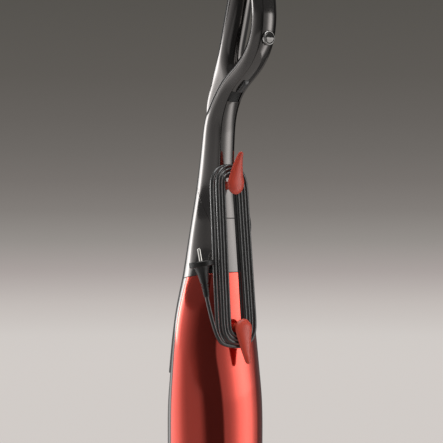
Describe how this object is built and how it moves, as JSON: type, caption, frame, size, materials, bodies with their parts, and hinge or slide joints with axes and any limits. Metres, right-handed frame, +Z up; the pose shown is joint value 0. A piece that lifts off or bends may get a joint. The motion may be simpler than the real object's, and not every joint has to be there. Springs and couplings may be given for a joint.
{
  "type": "upright vacuum cleaner",
  "caption": "Slim upright vacuum cleaner: loop handle, wound cord on two hooks, red teardrop body, front dust container, tilting and swivelling neck, floor head.",
  "frame": {"origin": "on the floor, under the middle of the object without its cord", "axes": "+Z up, -Y towards the front with the dust container, +Y towards the rear with the cord hooks, +X to the right seen from the front's left hand side"},
  "size_m": [0.276, 0.2552, 1.1051],
  "materials": {
    "handle_grey": "metallic gunmetal gloss",
    "body_red": "metallic red lacquer, clear coat",
    "hook_red": "moulded red, gloss",
    "cover_dark": "dark grey gloss",
    "head_dark": "dark grey satin",
    "clear_smoke": "smoked clear",
    "button_chrome": "polished",
    "steel": "satin",
    "plug_pin": "nickel plated",
    "inner_black": "fine grain",
    "soft_rubber": "matt",
    "wheel_tyre": "matt",
    "wheel_hub": "satin",
    "bristle": "nylon tufts",
    "felt": "felt",
    "filter_white": "pleated fleece",
    "board_green": "solder mask",
    "wire": "insulated wire",
    "cord": "satin cable sheath"
  },
  "bodies": {
    "floor_head": {"head_shell": "head_dark", "sole_plate": "inner_black", "bumper": "soft_rubber", "glides": "felt", "suction_chamber": "inner_black", "wheel_axles": "steel", "pedal_pin": "steel"},
    "wheel_left": {"tyre_left": "wheel_tyre", "hub_left": "wheel_hub"},
    "wheel_right": {"tyre_right": "wheel_tyre", "hub_right": "wheel_hub"},
    "pedal": {"pedal": "hook_red"},
    "brush": {"brush_strips": "bristle", "brush_carrier": "inner_black"},
    "neck": {"neck_tube": "head_dark", "neck_collar": "head_dark", "neck_pivots": "steel"},
    "dust_container": {"dust_cup": "clear_smoke", "cup_lid": "cover_dark", "cup_seal": "soft_rubber", "filter_frame": "inner_black", "filter_pleats": "filter_white"},
    "release": {"release_button": "button_chrome"},
    "door": {"exhaust_door": "cover_dark"},
    "power": {"power_button": "button_chrome"},
    "hook": {"cord_hook_top": "hook_red"},
    "cleaner": {"base_cover": "cover_dark", "button_bezel": "button_chrome", "chassis_screws": "steel", "chassis_wall": "inner_black", "control_board": "board_green", "cord_coil": "cord", "cord_gland": "cord", "cord_hook_low": "hook_red", "cord_lead": "cord", "cord_tail": "cord", "exhaust_filter": "filter_white", "fan_housing": "steel", "fan_wheel": "steel", "front_cover": "cover_dark", "front_foot_cover": "cover_dark", "grip_clip": "inner_black", "handle_arch": "handle_grey", "handle_core": "inner_black", "handle_rear_shell": "handle_grey", "handle_side_shell": "handle_grey", "motor_can": "steel", "motor_mounts": "soft_rubber", "motor_platform": "inner_black", "motor_rotor": "steel", "neck_shell": "handle_grey", "neck_spine": "handle_grey", "plug_body": "cord", "plug_pins": "plug_pin", "plug_relief": "cord", "power_switch": "inner_black", "rear_shell": "body_red", "side_trims": "handle_grey", "suction_pipe": "inner_black", "switch_wire": "wire"}
  },
  "joints": [
    {"name": "neck_tilt", "type": "hinge", "parent": "floor_head", "child": "neck", "pos_m": [0, 0.032, 0.036], "axis": [-1, 0, 0], "range_deg": [0, 70]},
    {"name": "neck_swivel", "type": "hinge", "parent": "neck", "child": "cleaner", "pos_m": [0, 0.032, 0.106], "axis": [0, 0, 1], "range_deg": [-85, 85]},
    {"name": "wheel_left_spin", "type": "hinge", "parent": "floor_head", "child": "wheel_left", "pos_m": [-0.0845, 0.044, 0.022], "axis": [1, 0, 0], "continuous": true},
    {"name": "wheel_right_spin", "type": "hinge", "parent": "floor_head", "child": "wheel_right", "pos_m": [0.0845, 0.044, 0.022], "axis": [1, 0, 0], "continuous": true},
    {"name": "pedal_rock", "type": "hinge", "parent": "floor_head", "child": "pedal", "pos_m": [0.07, -0.04, 0.04], "axis": [-1, 0, 0], "range_deg": [0, 16.1]},
    {"name": "brush_lift", "type": "slide", "parent": "floor_head", "child": "brush", "axis": [0, 0, 1], "range_m": [0, 0.005]},
    {"name": "container_slide", "type": "slide", "parent": "cleaner", "child": "dust_container", "axis": [0, -1, 0], "range_m": [0, 0.15]},
    {"name": "release_press", "type": "slide", "parent": "cleaner", "child": "release", "axis": [0, 1, 0], "range_m": [0, 0.003], "stiffness_N_per_m": 400, "springref_m": -0.001},
    {"name": "door_swing", "type": "hinge", "parent": "cleaner", "child": "door", "pos_m": [0, -0.0545, 0.5196], "axis": [1, 0, 0], "range_deg": [0, 80]},
    {"name": "power_press", "type": "slide", "parent": "cleaner", "child": "power", "axis": [0, -1, 0], "range_m": [0, 0.0025], "stiffness_N_per_m": 400, "springref_m": -0.001},
    {"name": "hook_turn", "type": "hinge", "parent": "cleaner", "child": "hook", "pos_m": [0, 0.04081, 0.752], "axis": [0, 0.998, 0.0629], "range_deg": [0, 180]}
  ],
  "couplings": [
    {"joint": "pedal_rock", "follows": "brush_lift", "rad_per_m": 55.85}
  ]
}
